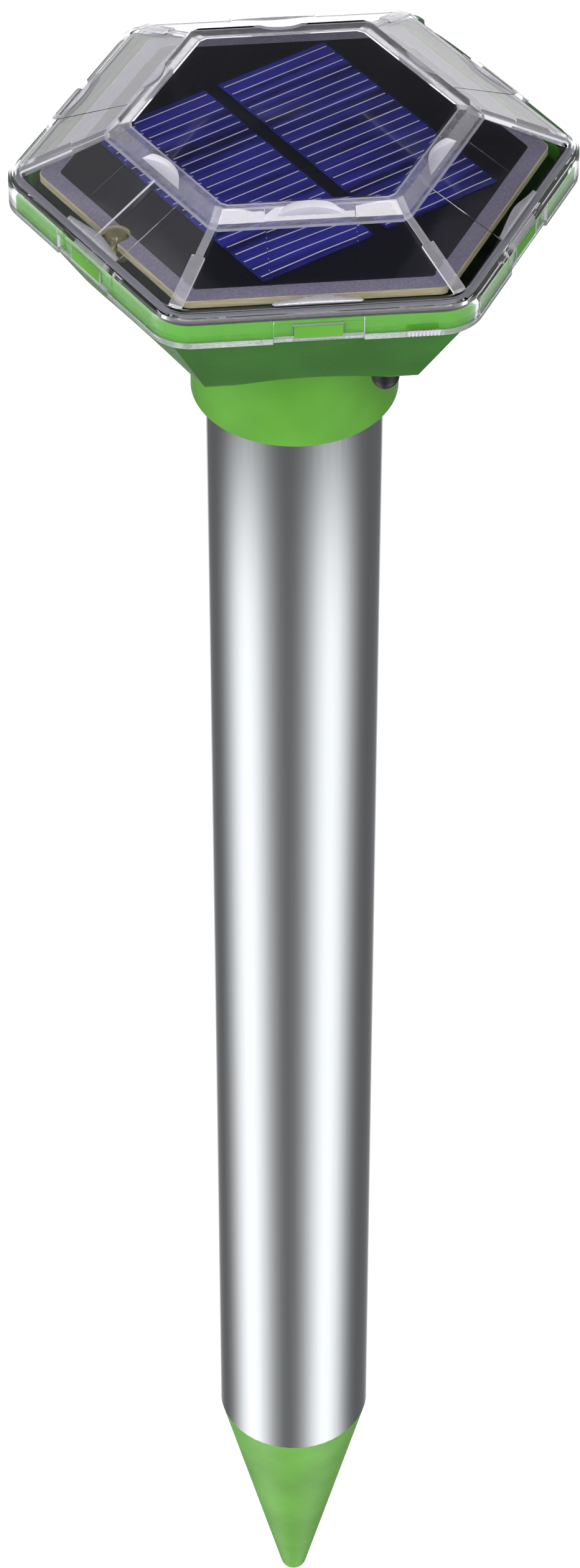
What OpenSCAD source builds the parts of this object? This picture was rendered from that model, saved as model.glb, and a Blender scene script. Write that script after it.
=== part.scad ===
// Solar mole repeller: a hexagonal solar head on a metal tube with a ground spike.
// The origin is at the point of the spike and +Z runs up the axis of the tube.
// Sides of the head face 30, 90, 150 ... degrees; corners lie at 0, 60, 120 ... degrees.

/* [Stake] */
// Outside diameter of the tube
tube_d = 32; // [31.6:0.1:32.2]
// Wall of the tube
tube_wall = 1; // [0.8:0.1:1.2]
// Length of the tube
tube_len = 304; // [200:1:400]
// Length of the spike below the tube
spike_len = 62; // [50:1:80]
// Radius of the spike's blunt point
point_r = 2.9; // [2:0.1:4]
// Length of the spike's plug inside the tube
plug_len = 20; // [12:1:30]

/* [Neck] */
// Outside diameter of the neck
neck_d = 37; // [36.8:0.1:40]
// Length of tube that the neck takes in
neck_grip = 22; // [18:1:24]
// Radial clearance between the tube and the neck
neck_gap = 0.05; // [0.03:0.01:0.08]

/* [Head] */
// Distance across the flats of the clear cover
head_flats = 87; // [86.8:0.1:87.6]
// Height of the sloping part of the base
base_h = 17.6; // [17.2:0.2:18.2]
// Distance across the flats at the bottom of the base
base_flats = 62.7; // [62.6:0.1:64]
// Depth of the cover's skirt
skirt_h = 6.6; // [6.4:0.1:7]
// Height of the crown above the flange
crown_h = 9; // [8.8:0.1:10]
// Wall of the cover's sloping sides
cover_wall = 1.4; // [1.2:0.1:1.5]
// Width of the plain zone in the middle of each side
side_zone_w = 15; // [13:0.5:16]

/* [Solar panel] */
// Distance across the flats of the panel
panel_flats = 75.4; // [75:0.1:75.6]
// Width of the grey band round the panel's face
panel_band_w = 3; // [2:0.1:4]
// Length of a cell block, across its grid lines
cell_len = 50; // [44:1:52]
// Width of a cell block, along its grid lines
cell_w = 22.6; // [20:0.2:23]
// Gap between the two blocks
cell_gap = 2.8; // [2:0.1:4]
// Number of grid lines on a block
finger_count = 20; // [12:1:22]

/* [Button] */
// Diameter of the push button
button_d = 4.9; // [4.5:0.1:5]
// Length of the button below the base
button_drop = 6.4; // [4:0.1:7]

/* [Hidden] */
$fn = 96;

// Heights of the stake
tube_r = tube_d / 2;
bore_r = tube_r - tube_wall;
tube_top = spike_len + tube_len;

// Neck
neck_r = neck_d / 2;
neck_z = tube_top - neck_grip;
neck_bore_r = tube_r + neck_gap;
roof_z = tube_top + 0.6;
plug_hole_r = 13;
seal_z = neck_z + 7;
seal_r = 0.75;
seal_ring_r = tube_r + 0.12 + seal_r;
seal_groove_r = seal_ring_r + seal_r + 0.06;
seal_groove_h = 2 * seal_r + 0.5;

// Shallow groove rolled into the tube where the neck's mouth stops
stop_groove_z = neck_z - 0.4;
stop_groove_h = 1.2;
stop_groove_depth = 0.3;

// Heights of the head
base_z = roof_z + 2;
floor_z = base_z + 2.4;
skirt_z = base_z + base_h;
flange_z = skirt_z + skirt_h;
crown_z = flange_z + crown_h;
gasket_h = 0.8;
flange_under_z = flange_z - 1.6;
rim_z = flange_under_z - gasket_h;

// Cover: half widths across the flats
skirt_a = head_flats / 2;
skirt_wall = 1.5;
skirt_corner_r = 8;
corner_step = 60 / 9;
edge_r = 1.8;
zone_recess = 0.5;
zone_pad = 0.7;
foot_a = skirt_a - 2.2;
shoulder_a = 28.2;
crown_a = 26.2;
shoulder_z = crown_z - 2.2;
crown_wall = 1.6;
slope = (shoulder_z - flange_z) / (foot_a - shoulder_a);
slope_angle = atan(slope);
slope_shift = cover_wall / sin(slope_angle);
inner_foot_a = foot_a - slope_shift + (flange_z - flange_under_z) / slope;
inner_crown_a = inner_foot_a - (crown_z - crown_wall - flange_under_z) / slope;
scallop_half = 5.4;
scallop_depth = 1.4;
scallop_bite = 0.9;
scallop_sag = scallop_depth * (shoulder_a - crown_a) / (crown_z - shoulder_z) + scallop_bite;
scallop_r = (pow(scallop_half, 2) + pow(scallop_sag, 2)) / (2 * scallop_sag);
window_w = 8.6;
window_h = 2.7;
window_z = skirt_z + 0.5;

// Base
rim_a = skirt_a - skirt_wall - 0.15;
rim_corner_r = 6;
gasket_w = 0.8;
base_a = base_flats / 2;
base_slope = (rim_a - base_a) / base_h;
base_wall = 1.8;
base_shift = base_wall * sqrt(1 + base_slope * base_slope);
floor_a = base_a + base_slope * (floor_z - base_z);
arch_half = 13;
arch_h = 1.6;
arch_r = (arch_half * arch_half + arch_h * arch_h) / (2 * arch_h);
arch_from = arch_half / tan(30) + 0.4;

// Solar panel
panel_a = panel_flats / 2;
panel_corner_r = 2;
pad_h = 0.5;
board_h = 1.3;
film_h = 0.12;
cell_h = 0.2;
panel_z = flange_z - 2.8;
face_z = panel_z + board_h;
cell_z = face_z + film_h;
panel_post_at = 34;
panel_post_r = 2.6;
cell_turn = 30;

// Lamp at the edge of the panel, in the middle of the side that faces 210 degrees
lamp_r = 2;
lamp_a = 36.4;
lamp_side = 210;
lamp_z = face_z - 1.1;
lamp_notch_r = lamp_r + 0.5;

// Main board
pcb_size = [58, 26, 1.6];
pcb_z = floor_z + 11.7;
pcb_top = pcb_z + pcb_size[2];
pcb_post_at = [26, 10];
pcb_post_r = 2.4;
screw_r = 0.8;

// Battery pack: three cells side by side along X
cell_r = 5.25;
cell_body_l = 44.5;
cell_pitch = 10.5;
cell_count = 3;
pack_y = 8.5;
sleeve_t = 0.15;
pack_pad_h = 0.4;
pack_z = floor_z + pack_pad_h + sleeve_t + cell_r;

// Button and its switch
button_r = button_d / 2;
button_hole_r = button_r + 0.3;
button_at = 29;
button_turn = 297;
button_x = button_at * cos(button_turn);
button_y = button_at * sin(button_turn);
button_z = base_z - button_drop;
boss_r = 5.2;
boss_bore_r = 4;
boss_h = 3;
switch_z = floor_z + boss_h;
switch_w = 7;
plunger_r = 1.5;

// Sound unit in the top of the tube
carrier_r = bore_r - 0.5;
carrier_z = tube_top - 53;
carrier_bore_r = 12.2;
seat_r = 13.3;
seat_h = 4;
driver_r = 13.2;
driver_z = carrier_z + 0.4;
driver_h = 3;
driver_top = driver_z + driver_h;

lead_r = 0.5;
lead_y = -10;

// Half width across the flats to corner radius
function corner(a) = a / cos(30);

// Point on the rounded upper edge of the skirt
function edge_point(t) = [skirt_a - edge_r + edge_r * cos(t), flange_z - edge_r + edge_r * sin(t)];

// Six-sided solid from a profile of [half width across the flats, height] points, lowest first
module hex_profile(points) {
    last = len(points) - 1;
    outline = concat(points, [for (i = [last:-1:0]) [-points[i][0], points[i][1]]]);
    intersection_for (k = [0:2])
        rotate([90, 0, 30 + 60 * k]) linear_extrude(150, center = true) polygon(outline);
}

// Straight six-sided prism with round corners, each drawn as an arc of short flats
module rounded_hex(a, r, z1, z2) {
    centre = corner(a - r);
    outline = [for (k = [0:5], t = [-30:corner_step:30])
        [centre * cos(60 * k) + r * cos(60 * k + t), centre * sin(60 * k) + r * sin(60 * k + t)]];
    translate([0, 0, z1]) linear_extrude(z2 - z1) polygon(outline);
}

// Copies onto the six sides, with X pointing straight out of the side
module each_side() {
    for (k = [0:5]) rotate(30 + 60 * k) children();
}

// Places a child at the middle of one side
module at_side(turn, a) {
    rotate(turn) translate([a, 0, 0]) children();
}

module ring(outer, inner, z1, z2) {
    translate([0, 0, z1]) difference() {
        cylinder(r = outer, h = z2 - z1);
        translate([0, 0, -1]) cylinder(r = inner, h = z2 - z1 + 2);
    }
}

// Box standing on z, centred in X and Y
module block(size, z) {
    translate([-size[0] / 2, -size[1] / 2, z]) cube(size);
}

// Straight piece of wire between two points
module wire(p, q, r) {
    d = q - p;
    l = norm(d);
    translate(p) rotate([0, acos(d[2] / l), atan2(d[1], d[0])]) cylinder(r = r, h = l, $fn = 24);
}

// Wire through a list of points, with slightly thicker round elbows
module wire_path(points, r) {
    for (i = [0:len(points) - 2]) wire(points[i], points[i + 1], r);
    for (i = [1:len(points) - 2]) translate(points[i]) sphere(r = 1.15 * r, $fn = 24);
}

// ---- clear cover ----

// Outside of the cover, with its upper skirt edge rounded in three steps
module cover_body() {
    step = 30;
    low_z = flange_z - edge_r - sin(step) / (1 - cos(step));
    intersection() {
        rounded_hex(skirt_a, skirt_corner_r, skirt_z, crown_z + 1);
        hex_profile(concat(
            [[skirt_a + 1, skirt_z - 1], [skirt_a + 1, low_z]],
            [for (t = [step:step:90]) edge_point(t)],
            [[foot_a, flange_z], [shoulder_a, shoulder_z], [crown_a, crown_z]]));
    }
}

// Raised pad down the middle of each sloping side
module slope_pads() {
    run = foot_a - shoulder_a;
    slope_len = norm([run, shoulder_z - flange_z]);
    each_side()
        translate([foot_a, -side_zone_w / 2, flange_z])
            rotate([0, slope_angle - 180, 0])
                translate([0.6, 0, -zone_pad])
                    cube([slope_len - 0.8, side_zone_w, zone_pad + 0.3]);
}

module clear_cover() {
    color("lightcyan", 0.35) difference() {
        union() {
            cover_body();
            slope_pads();
        }
        rounded_hex(skirt_a - skirt_wall, skirt_corner_r - skirt_wall, skirt_z - 1, flange_under_z);
        hex_profile([[inner_foot_a + 0.5 / slope, flange_under_z - 0.5],
            [inner_crown_a, crown_z - crown_wall]]);
        each_side() {
            translate([skirt_a - zone_recess, -side_zone_w / 2, skirt_z - 1])
                cube([5, side_zone_w, skirt_h - edge_r + 1]);
            translate([skirt_a - 4, -window_w / 2, window_z]) cube([6, window_w, window_h]);
            translate([crown_a - scallop_bite + scallop_r, 0, crown_z - scallop_depth])
                cylinder(r = scallop_r, h = 5);
        }
    }
}

module cover_gasket() {
    color([0.08, 0.08, 0.09]) difference() {
        rounded_hex(rim_a - 0.1, rim_corner_r - 0.1, rim_z, flange_under_z);
        rounded_hex(rim_a - 0.1 - gasket_w, rim_corner_r - 0.1 - gasket_w, rim_z - 1, flange_under_z + 1);
    }
}

// ---- solar panel ----

module lamp_notch() {
    at_side(lamp_side, lamp_a) {
        translate([0, 0, panel_z - 1]) cylinder(r = lamp_notch_r, h = board_h + 3);
        translate([0, -lamp_notch_r, panel_z - 1]) cube([5, 2 * lamp_notch_r, board_h + 3]);
    }
}

module panel_board() {
    color([0.78, 0.7, 0.5]) difference() {
        rounded_hex(panel_a, panel_corner_r, panel_z, face_z);
        lamp_notch();
    }
}

module panel_border() {
    inner_a = panel_a - 0.2 - panel_band_w;
    color([0.45, 0.43, 0.5]) difference() {
        rounded_hex(panel_a - 0.2, panel_corner_r - 0.2, face_z, cell_z);
        rounded_hex(inner_a, 1, face_z - 1, cell_z + 1);
        lamp_notch();
    }
}

module panel_mask() {
    color([0.06, 0.06, 0.09]) difference() {
        rounded_hex(panel_a - 0.2 - panel_band_w, 1, face_z, cell_z);
        lamp_notch();
    }
}

module panel_cells() {
    color([0.12, 0.15, 0.42]) rotate(cell_turn)
        for (s = [-1, 1])
            translate([s * (cell_w + cell_gap) / 2, 0, 0]) block([cell_w, cell_len, cell_h], cell_z);
}

module cell_fingers() {
    pitch = cell_len / finger_count;
    color([0.8, 0.8, 0.9]) rotate(cell_turn)
        for (s = [-1, 1], i = [0:finger_count - 1])
            translate([s * (cell_w + cell_gap) / 2, (i + 0.5) * pitch - cell_len / 2, 0])
                block([cell_w - 0.8, 0.22, 0.04], cell_z + cell_h);
}

module panel_pads() {
    color([0.2, 0.2, 0.2])
        for (k = [0:2]) rotate(120 * k) translate([panel_post_at, 0, panel_z - pad_h])
            cylinder(r = panel_post_r - 0.2, h = pad_h);
}

module indicator_led() {
    color([0.85, 0.65, 0.2]) at_side(lamp_side, lamp_a) translate([0, 0, lamp_z]) {
        sphere(r = lamp_r);
        translate([0, 0, -2.7]) cylinder(r = lamp_r, h = 2.7);
        translate([0, 0, -3.4]) cylinder(r = lamp_r + 0.2, h = 0.7);
    }
}

module led_leads() {
    foot = [lamp_a * cos(lamp_side), lamp_a * sin(lamp_side), lamp_z - 3.4];
    color("silver")
        for (s = [-1, 1])
            wire_path([foot + [s, 0, 0], [foot[0] + s, foot[1], pcb_top + 0.9],
                [foot[0] + s, -5 - s, pcb_top + 0.9], [-24 + s, -5 - s, pcb_top + 0.9],
                [-24 + s, -5 - s, pcb_top]], 0.25);
}

// ---- base ----

module neck_outer() {
    translate([0, 0, neck_z]) cylinder(r = neck_r, h = base_z + 1 - neck_z);
}

module neck_cuts() {
    translate([0, 0, neck_z - 1]) cylinder(r = neck_bore_r, h = roof_z - neck_z + 1);
    translate([0, 0, neck_z - 0.01]) cylinder(r1 = neck_bore_r + 0.6, r2 = neck_bore_r, h = 0.8);
    translate([0, 0, seal_z - seal_groove_h / 2]) cylinder(r = seal_groove_r, h = seal_groove_h);
    translate([0, 0, roof_z - 1]) cylinder(r = plug_hole_r, h = floor_z - roof_z + 2);
}

// Shallow arch under each side of the base
module base_arches() {
    each_side()
        translate([arch_from, 0, base_z + arch_h - arch_r])
            rotate([0, 90, 0]) cylinder(r = arch_r, h = 30, $fn = 180);
}

// Six-sided tray that widens along the base's slope and then runs straight up
module tray(top_a, corner_r, low_a, low_z, top_z) {
    rise = (top_a + 1 - low_a) / base_slope;
    intersection() {
        rounded_hex(top_a, corner_r, low_z, top_z);
        hex_profile([[low_a, low_z], [top_a + 1, low_z + rise], [top_a + 1, top_z + 1]]);
    }
}

module base_shell() {
    difference() {
        union() {
            tray(rim_a, rim_corner_r, base_a, base_z, rim_z);
            neck_outer();
            each_side()
                translate([rim_a - 0.5, -window_w / 2 + 0.2, window_z + 0.2])
                    cube([1.5, window_w - 0.4, window_h - 0.4]);
        }
        tray(rim_a - base_shift, rim_corner_r - 1.4, floor_a - base_shift, floor_z, rim_z + 1);
        neck_cuts();
        base_arches();
    }
}

// Posts that stand on the floor of the base
module base_posts() {
    for (k = [0:2]) rotate(120 * k)
        translate([panel_post_at, 0, floor_z - 1])
            rotate(180) cylinder(r = panel_post_r, h = panel_z - pad_h - floor_z + 1);
    for (sx = [-1, 1], sy = [-1, 1])
        translate([sx * pcb_post_at[0], sy * pcb_post_at[1], floor_z - 1])
            cylinder(r = pcb_post_r, h = pcb_z - floor_z + 1);
    translate([button_x, button_y, floor_z - 1]) cylinder(r = boss_r, h = boss_h + 1);
}

module head_base() {
    color([0.36, 0.68, 0.2]) difference() {
        union() {
            base_shell();
            base_posts();
        }
        translate([button_x, button_y, base_z - 1]) cylinder(r = button_hole_r, h = 5);
        translate([button_x, button_y, floor_z]) cylinder(r = boss_bore_r, h = boss_h + 1);
        for (sx = [-1, 1], sy = [-1, 1])
            translate([sx * pcb_post_at[0], sy * pcb_post_at[1], pcb_z - 6])
                cylinder(r = screw_r, h = 7);
    }
}

// ---- electronics ----

module main_board() {
    color([0.1, 0.35, 0.18]) difference() {
        block(pcb_size, pcb_z);
        for (sx = [-1, 1], sy = [-1, 1])
            translate([sx * pcb_post_at[0], sy * pcb_post_at[1], pcb_z - 1])
                cylinder(r = screw_r + 0.3, h = 4);
    }
}

module controller_ic() {
    pins = 7;
    color([0.1, 0.1, 0.1]) translate([2, 2, 0]) {
        block([9, 4, 1.4], pcb_top + 0.15);
        for (i = [0:pins - 1], s = [-1, 1])
            translate([(i - (pins - 1) / 2) * 1.27, s * 2.4, 0]) block([0.45, 1.2, 0.5], pcb_top);
    }
}

module capacitor() {
    color([0.15, 0.2, 0.45]) translate([-19, 5, pcb_top + 2.1])
        rotate([0, 90, 0]) cylinder(r = 2.1, h = 8);
}

module boost_coil() {
    color([0.35, 0.2, 0.12]) translate([17, -5, 0]) {
        translate([0, 0, pcb_top]) cylinder(r = 3.6, h = 0.8);
        translate([0, 0, pcb_top + 0.8]) cylinder(r = 2.9, h = 2.2);
        translate([0, 0, pcb_top + 3]) cylinder(r = 3.6, h = 0.8);
    }
}

module driver_transistor() {
    color([0.12, 0.12, 0.12]) translate([-13, -6, pcb_top]) rotate([90, 0, 0])
        intersection() {
            translate([0, 0.4, 0]) cylinder(r = 2.4, h = 4.6);
            translate([-3, 0, -1]) cube([6, 3, 7]);
        }
}

module board_screws() {
    color("silver")
        for (sx = [-1, 1], sy = [-1, 1])
            translate([sx * pcb_post_at[0], sy * pcb_post_at[1], 0]) {
                translate([0, 0, pcb_z - 5]) cylinder(r = screw_r, h = pcb_top - pcb_z + 5);
                difference() {
                    translate([0, 0, pcb_top]) cylinder(r = 2, h = 1.3);
                    block([2.6, 0.5, 1], pcb_top + 0.8);
                    block([0.5, 2.6, 1], pcb_top + 0.8);
                }
            }
}

// ---- battery pack ----

module battery_cells() {
    color([0.55, 0.57, 0.6])
        for (i = [0:cell_count - 1])
            translate([-cell_body_l / 2, pack_y + (i - (cell_count - 1) / 2) * cell_pitch, pack_z])
                rotate([0, 90, 0]) cylinder(r = cell_r - 0.02, h = cell_body_l);
}

module battery_tabs() {
    color("silver") for (s = [-1, 1])
        translate([s * (cell_body_l / 2 + 0.1), pack_y - s * cell_pitch / 2, pack_z - 2])
            block([0.2, cell_pitch + 5, 4], 0);
}

// Outline of the pack across its cells
module pack_outline(r) {
    reach = (cell_count - 1) / 2 * cell_pitch;
    square([2 * reach, 2 * r], center = true);
    for (s = [-1, 1]) translate([s * reach, 0]) circle(r = r);
}

module battery_sleeve() {
    color([0.15, 0.45, 0.3])
        translate([-cell_body_l / 2, pack_y, pack_z]) rotate([90, 0, 90]) difference() {
            linear_extrude(cell_body_l) pack_outline(cell_r + sleeve_t);
            translate([0, 0, -1]) linear_extrude(cell_body_l + 2) pack_outline(cell_r);
        }
}

module battery_pad() {
    color([0.85, 0.85, 0.82]) translate([0, pack_y, 0]) block([30, 16, pack_pad_h], floor_z);
}

module battery_leads() {
    tab_x = cell_body_l / 2 + 0.2 + lead_r;
    color("firebrick") translate([tab_x, pack_y - cell_pitch, pack_z])
        cylinder(r = lead_r, h = pcb_z - pack_z, $fn = 24);
    color("black") translate([-tab_x, pack_y + cell_pitch / 2 - 2, pack_z])
        cylinder(r = lead_r, h = pcb_z - pack_z, $fn = 24);
}

// ---- switch and button ----

module switch_body() {
    color([0.15, 0.15, 0.16]) translate([button_x, button_y, 0]) difference() {
        block([switch_w, switch_w, 7], switch_z);
        translate([0, 0, switch_z - 1]) cylinder(r = plunger_r + 0.3, h = 6);
    }
}

module switch_plunger() {
    color([0.8, 0.8, 0.78]) translate([button_x, button_y, floor_z + 1.2])
        cylinder(r = plunger_r, h = 4);
}

// Round cap with a domed end; its collar rests on the floor of the base
module button_cap() {
    color([0.05, 0.05, 0.05]) translate([button_x, button_y, 0]) {
        translate([0, 0, button_z + button_r]) {
            sphere(r = button_r);
            cylinder(r = button_r, h = floor_z + 0.2 - button_z - button_r);
        }
        translate([0, 0, floor_z + 0.2]) cylinder(r = button_r + 1.2, h = 1);
    }
}

module switch_leads() {
    top = switch_z + 7;
    color("gray")
        for (s = [-1, 1])
            wire_path([[button_x + 2 * s, button_y + 2, top], [button_x + 2 * s, button_y + 2, pcb_top + 1.2],
                [button_x + 2 * s, -12, pcb_top + 1.2], [button_x + 2 * s, -12, pcb_top]], 0.45);
}

module panel_leads() {
    color("firebrick") for (s = [-1, 1])
        translate([-7 + 2 * s, 9, pcb_top]) cylinder(r = lead_r, h = panel_z - pcb_top, $fn = 24);
}

// ---- seal and sound unit ----

module neck_seal() {
    color([0.1, 0.1, 0.1]) translate([0, 0, seal_z])
        rotate_extrude() translate([seal_ring_r, 0]) circle(r = seal_r, $fn = 32);
}

module sound_carrier() {
    slots = 3;
    color([0.2, 0.2, 0.22]) difference() {
        union() {
            translate([0, 0, carrier_z]) cylinder(r = carrier_r, h = roof_z - carrier_z);
            translate([0, 0, roof_z]) cylinder(r = plug_hole_r, h = floor_z - roof_z - 0.2);
        }
        translate([0, 0, carrier_z + seat_h]) cylinder(r = carrier_bore_r, h = 48.6);
        translate([0, 0, carrier_z - 1]) cylinder(r = seat_r, h = seat_h + 1);
        translate([0, 0, roof_z - 4]) cylinder(r = plug_hole_r - 1.4, h = 20);
        for (k = [0:slots - 1]) rotate(90 + 360 / slots * k)
            translate([0, -4, carrier_z + 14]) cube([20, 8, 28]);
    }
}

module speaker_frame() {
    color([0.6, 0.62, 0.65]) difference() {
        union() {
            translate([0, 0, driver_z]) cylinder(r = driver_r, h = driver_h);
            translate([0, 0, driver_top]) cylinder(r = 9.5, h = 2.5);
        }
        translate([0, 0, driver_z - 1]) cylinder(r = 12.2, h = 2.2);
        translate([0, 0, driver_z + 1]) cylinder(r1 = 12.2, r2 = 8, h = 2);
        translate([0, 0, driver_z + 2.9]) cylinder(r = 8, h = 1.6);
    }
}

module speaker_magnet() {
    color([0.25, 0.25, 0.27]) translate([0, 0, driver_top + 2.5]) cylinder(r = 8, h = 3);
}

// Thin diaphragm with a domed centre
module speaker_cone() {
    color([0.75, 0.7, 0.5]) translate([0, 0, driver_z + 0.3]) {
        difference() {
            cylinder(r1 = 12.1, r2 = 7.6, h = 2.2);
            translate([0, 0, -0.15]) cylinder(r1 = 11.9, r2 = 7.4, h = 2.2);
            translate([0, 0, 1]) cylinder(r = 6, h = 3);
        }
        ring(12.2, 11.6, -0.2, 0.1);
    }
}

module speaker_foam() {
    color([0.3, 0.3, 0.3]) ring(driver_r - 0.1, carrier_bore_r + 0.1, driver_top, carrier_z + seat_h);
}

module speaker_leads() {
    color("dimgray") for (s = [-1, 1])
        translate([2 * s, lead_y, driver_top])
            cylinder(r = lead_r, h = pcb_z - driver_top, $fn = 24);
}

// ---- stake ----

module tube() {
    color([0.75, 0.77, 0.8]) difference() {
        ring(tube_r, bore_r, spike_len, tube_top);
        ring(tube_r + 1, tube_r - stop_groove_depth, stop_groove_z, stop_groove_z + stop_groove_h);
    }
}

// Cone with a blunt round point, hollow from above, and a plug that fills the end of the tube
module spike() {
    reach = norm([tube_r, spike_len - point_r]);
    flank = atan(tube_r / (spike_len - point_r)) - asin(point_r / reach);
    round_z = point_r * (1 - sin(flank));
    wall = 2.6;
    core_low = 20;
    core_r = point_r * cos(flank) + (core_low - round_z) * tan(flank) - wall;
    color([0.45, 0.72, 0.3]) difference() {
        union() {
            translate([0, 0, point_r]) sphere(r = point_r);
            translate([0, 0, round_z])
                cylinder(r1 = point_r * cos(flank), r2 = tube_r, h = spike_len - round_z);
            translate([0, 0, spike_len]) cylinder(r = bore_r, h = plug_len - 1);
            translate([0, 0, spike_len + plug_len - 1]) cylinder(r1 = bore_r, r2 = bore_r - 0.7, h = 1);
        }
        translate([0, 0, core_low])
            cylinder(r1 = core_r, r2 = bore_r - wall, h = spike_len - core_low);
        translate([0, 0, spike_len]) cylinder(r = bore_r - wall, h = plug_len + 1);
    }
}

clear_cover();
cover_gasket();
panel_board();
panel_border();
panel_mask();
panel_cells();
cell_fingers();
panel_pads();
indicator_led();
led_leads();
head_base();
main_board();
controller_ic();
capacitor();
boost_coil();
driver_transistor();
board_screws();
battery_cells();
battery_tabs();
battery_sleeve();
battery_pad();
battery_leads();
switch_body();
switch_plunger();
switch_leads();
button_cap();
panel_leads();
neck_seal();
sound_carrier();
speaker_frame();
speaker_magnet();
speaker_cone();
speaker_foam();
speaker_leads();
tube();
spike();
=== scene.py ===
"""Looks for the solar mole repeller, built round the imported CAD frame. Lengths are in metres."""

import math

import bmesh
import bpy
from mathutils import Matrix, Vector


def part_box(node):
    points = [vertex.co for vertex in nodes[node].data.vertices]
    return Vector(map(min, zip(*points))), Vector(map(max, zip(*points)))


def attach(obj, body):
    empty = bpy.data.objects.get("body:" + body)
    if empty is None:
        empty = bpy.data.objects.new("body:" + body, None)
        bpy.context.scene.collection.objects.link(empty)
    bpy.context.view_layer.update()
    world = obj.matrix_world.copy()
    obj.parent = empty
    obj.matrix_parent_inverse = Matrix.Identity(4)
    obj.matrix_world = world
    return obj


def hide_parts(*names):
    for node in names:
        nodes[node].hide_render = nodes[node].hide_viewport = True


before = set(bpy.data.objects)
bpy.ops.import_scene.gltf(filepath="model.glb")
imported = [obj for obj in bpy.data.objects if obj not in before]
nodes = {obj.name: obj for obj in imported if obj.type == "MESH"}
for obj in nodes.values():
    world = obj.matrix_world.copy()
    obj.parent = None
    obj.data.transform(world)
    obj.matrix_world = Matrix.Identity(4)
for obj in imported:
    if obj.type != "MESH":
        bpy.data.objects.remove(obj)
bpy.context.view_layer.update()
MM = 0.001

# ---------------------------------------------------------------- heights and sizes from the frame

COVER_LOW, COVER_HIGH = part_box("clear_cover")
TUBE_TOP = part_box("tube")[1].z
PANEL_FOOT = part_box("panel_board")[0].z
GASKET_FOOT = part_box("cover_gasket")[0].z
RIM_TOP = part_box("head_base")[1].z

# Half width across the flats of the base's rim, which sits inside the cover's skirt
RIM_A = COVER_HIGH.y - 1.65 * MM

# ---------------------------------------------------------------- camera

CAMERA_PLACE = Vector((-0.0596, -0.6392, 0.8520))
CAMERA_AIM = Vector((-0.0008, 0.0001, 0.2454))
CAMERA_LENS = 105.4


def make_camera():
    data = bpy.data.cameras.new("camera")
    camera = bpy.data.objects.new("camera", data)
    bpy.context.scene.collection.objects.link(camera)
    camera.location = CAMERA_PLACE
    camera.rotation_mode = "QUATERNION"
    camera.rotation_quaternion = (CAMERA_AIM - CAMERA_PLACE).to_track_quat("-Z", "Y")
    data.lens = CAMERA_LENS
    data.sensor_width = 36
    data.clip_start, data.clip_end = 0.01, 20
    bpy.context.scene.camera = camera


# ---------------------------------------------------------------- material helpers

# Colour sockets of a Mix node: its two inputs and its output
MIX_FIRST, MIX_SECOND, MIX_RESULT = 6, 7, 2


def maths(tree, kind, first, second=None):
    """A Math node in a node tree. Its inputs are numbers or other nodes' outputs."""
    made = tree.nodes.new("ShaderNodeMath")
    made.operation = kind
    for value, socket in zip((first, second), made.inputs):
        if isinstance(value, (int, float)):
            socket.default_value = value
        elif value is not None:
            tree.links.new(value, socket)
    return made.outputs[0]


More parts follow.
